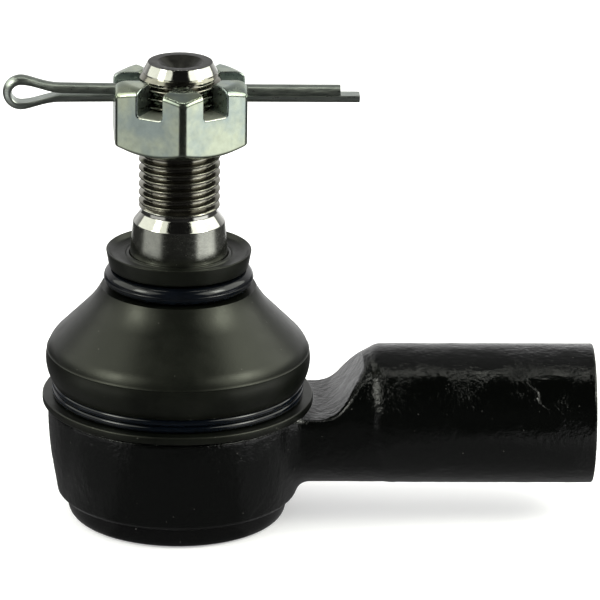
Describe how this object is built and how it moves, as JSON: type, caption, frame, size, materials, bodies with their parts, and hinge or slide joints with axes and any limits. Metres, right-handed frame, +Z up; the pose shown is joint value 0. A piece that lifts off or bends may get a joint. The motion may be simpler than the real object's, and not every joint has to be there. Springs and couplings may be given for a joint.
{
  "type": "tie rod end",
  "caption": "Female-thread tie rod end: forged socket and shank, ball stud with taper and thread, dust boot with rings, slotted nut and cotter pin.",
  "frame": {"origin": "centre of the housing's bottom rim, on the stud's axis", "axes": "+Z up along the stud towards its threaded tip, +X along the shank out of its threaded mouth"},
  "size_m": [0.0865, 0.0396, 0.0692],
  "materials": {
    "forging_paint": "glossy black paint over a rough forging",
    "cover_steel": "stamped steel, black paint",
    "seat_plastic": "natural acetal",
    "spring_steel": "spring steel",
    "stud_steel": "turned, ground and rolled steel",
    "boot_rubber": "matt moulded rubber with light dust",
    "ring_rubber": "glossy moulded rubber",
    "clip_wire": "black-coated spring wire",
    "zinc_nut": "bright zinc plate, lightly mottled",
    "zinc_pin": "zinc-plated wire"
  },
  "bodies": {
    "housing": {"housing": "forging_paint", "end_cover": "cover_steel", "lower_seat": "seat_plastic", "upper_seat": "seat_plastic", "seat_spring": "spring_steel"},
    "boot_base": {"dust_boot": "boot_rubber", "boot_clip_ring": "clip_wire"},
    "boot_top": {"boot_top_ring": "ring_rubber"},
    "stud": {"ball_stud": "stud_steel", "castle_nut": "zinc_nut"},
    "pin": {"cotter_pin": "zinc_pin"}
  },
  "joints": [
    {"name": "stud_turn", "type": "hinge", "parent": "housing", "child": "boot_base", "pos_m": [0, 0, 0.0155], "axis": [0, 0, 1], "continuous": true},
    {"name": "stud_swing", "type": "hinge", "parent": "boot_base", "child": "boot_top", "pos_m": [0, 0, 0.0155], "axis": [0, 1, 0], "range_deg": [-25, 25], "deforming": ["dust_boot"]},
    {"name": "stud_spin", "type": "hinge", "parent": "boot_top", "child": "stud", "pos_m": [0, 0, 0.0155], "axis": [0, 0, 1], "continuous": true},
    {"name": "cotter_slide", "type": "slide", "parent": "stud", "child": "pin", "axis": [-1, 0, 0], "range_m": [-0.007, 0.038]}
  ]
}
